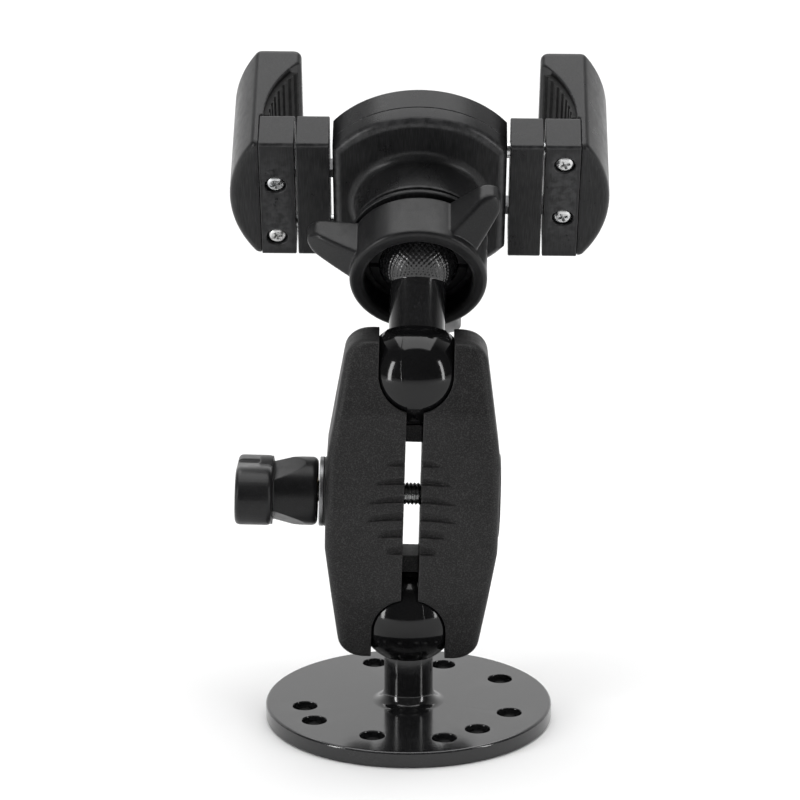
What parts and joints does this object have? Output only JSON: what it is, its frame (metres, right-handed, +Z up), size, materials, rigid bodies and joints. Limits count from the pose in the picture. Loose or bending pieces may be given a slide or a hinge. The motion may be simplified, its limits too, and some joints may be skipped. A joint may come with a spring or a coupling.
{
  "type": "phone mount",
  "caption": "Phone mount: round drill-down base plate with a ball, clamped double-socket arm with a wing knob, and a tilting holder with spring-loaded hooked jaws.",
  "frame": {"origin": "centre of the underside of the base plate", "axes": "+Z up along the post; X and Y along the short and long sides of the four-hole rectangle"},
  "size_m": [0.0888, 0.1046, 0.1417],
  "materials": {
    "black_powder_coat": "fine powder coat, semi-gloss",
    "black_anodised": "black anodised, satin, finely brushed",
    "rubber_cover": "smooth glossy rubber",
    "rubber_pad": "matt rubber",
    "grained_composite": "fine grain, matt",
    "satin_plastic": "satin",
    "zinc_steel": "bright zinc",
    "dark_steel": "blackened",
    "brass_insert": "machined",
    "white_acetal": "smooth"
  },
  "bodies": {
    "base": {"base_plate": "black_powder_coat"},
    "lower_ball": {"lower_ball_cover": "rubber_cover"},
    "arm": {"arm_right_half": "grained_composite", "clamp_bolt": "zinc_steel", "bolt_cap": "satin_plastic"},
    "arm_left": {"arm_left_half": "grained_composite", "knob_washer_inner": "satin_plastic", "knob_washer_outer": "dark_steel"},
    "knob": {"knob_grip": "satin_plastic", "knob_insert": "brass_insert"},
    "upper_ball": {"upper_ball_cover": "rubber_cover"},
    "stem": {"stem": "black_powder_coat"},
    "collet": {"collet": "satin_plastic"},
    "holder": {"back_housing": "black_anodised", "front_housing": "black_anodised", "housing_screw_1": "zinc_steel", "housing_screw_2": "zinc_steel", "housing_screw_3": "zinc_steel", "housing_screw_4": "zinc_steel", "front_pad": "rubber_pad", "pinion_pin": "zinc_steel", "return_spring_right": "zinc_steel", "return_spring_left": "zinc_steel"},
    "ring_nut": {"ring_nut": "satin_plastic"},
    "pinion": {"pinion": "white_acetal"},
    "mid_right": {"mid_block_right": "black_anodised"},
    "jaw_right": {"jaw_block_right": "black_anodised", "jaw_shell_right": "black_anodised", "jaw_pad_right": "rubber_pad", "jaw_rack_right": "dark_steel", "guide_rod_right": "zinc_steel", "jaw_screw_1_right": "zinc_steel", "jaw_screw_2_right": "zinc_steel"},
    "mid_left": {"mid_block_left": "black_anodised"},
    "jaw_left": {"jaw_block_left": "black_anodised", "jaw_shell_left": "black_anodised", "jaw_pad_left": "rubber_pad", "jaw_rack_left": "dark_steel", "guide_rod_left": "zinc_steel", "jaw_screw_1_left": "zinc_steel", "jaw_screw_2_left": "zinc_steel"}
  },
  "joints": [
    {"name": "base_swivel", "type": "hinge", "parent": "base", "child": "lower_ball", "pos_m": [0, 0, 0.0243], "axis": [0, 0, 1], "continuous": true},
    {"name": "lower_tilt", "type": "hinge", "parent": "lower_ball", "child": "arm", "pos_m": [0, 0, 0.0243], "axis": [0.9393, 0.3419, -0.0279], "range_deg": [-60, 60]},
    {"name": "clamp_open", "type": "slide", "parent": "arm", "child": "arm_left", "axis": [-0.9393, -0.3419, 0.0279], "range_m": [0, 0.002]},
    {"name": "knob_turn", "type": "hinge", "parent": "arm_left", "child": "knob", "pos_m": [0.00072, 0.00026, 0.05179], "axis": [-0.9393, -0.3419, 0.0279], "range_deg": [0, 900]},
    {"name": "upper_tilt", "type": "hinge", "parent": "arm", "child": "upper_ball", "pos_m": [0.00144, 0.00053, 0.07928], "axis": [0.9393, 0.3419, -0.0279], "range_deg": [-35, 90]},
    {"name": "stem_spin", "type": "hinge", "parent": "upper_ball", "child": "stem", "pos_m": [0.00144, 0.00053, 0.07928], "axis": [-0.1537, 0.4922, 0.8568], "continuous": true},
    {"name": "holder_tilt", "type": "hinge", "parent": "stem", "child": "collet", "pos_m": [-0.00261, 0.01352, 0.1019], "axis": [0.9393, 0.3419, -0.0279], "range_deg": [0, 56]},
    {"name": "holder_spin", "type": "hinge", "parent": "collet", "child": "holder", "pos_m": [-0.00261, 0.01352, 0.1019], "axis": [0.2797, -0.8104, -0.5148], "continuous": true},
    {"name": "ring_nut_turn", "type": "hinge", "parent": "holder", "child": "ring_nut", "pos_m": [-0.00261, 0.01352, 0.1019], "axis": [0.2797, -0.8104, -0.5148], "range_deg": [0, 270]},
    {"name": "jaw_right_slide", "type": "slide", "parent": "holder", "child": "jaw_right", "axis": [0.9439, 0.3302, -0.007], "range_m": [0, 0.012], "stiffness_N_per_m": 500, "springref_m": -0.012, "deforming": ["return_spring_right"]},
    {"name": "jaw_left_slide", "type": "slide", "parent": "holder", "child": "jaw_left", "axis": [-0.9439, -0.3302, 0.007], "range_m": [0, 0.012], "stiffness_N_per_m": 500, "springref_m": -0.012, "deforming": ["return_spring_left"]},
    {"name": "mid_right_slide", "type": "slide", "parent": "holder", "child": "mid_right", "axis": [0.9439, 0.3302, -0.007], "range_m": [0, 0.006]},
    {"name": "mid_left_slide", "type": "slide", "parent": "holder", "child": "mid_left", "axis": [-0.9439, -0.3302, 0.007], "range_m": [0, 0.006]},
    {"name": "pinion_turn", "type": "hinge", "parent": "holder", "child": "pinion", "pos_m": [-0.00877, 0.03135, 0.11323], "axis": [0.2797, -0.8104, -0.5148], "range_deg": [0, 203]}
  ],
  "couplings": [
    {"joint": "knob_turn", "follows": "clamp_open", "rad_per_m": 7854},
    {"joint": "jaw_left_slide", "follows": "jaw_right_slide", "ratio": 1},
    {"joint": "mid_right_slide", "follows": "jaw_right_slide", "ratio": 0.5},
    {"joint": "mid_left_slide", "follows": "jaw_right_slide", "ratio": 0.5},
    {"joint": "pinion_turn", "follows": "jaw_right_slide", "rad_per_m": 294.12}
  ]
}
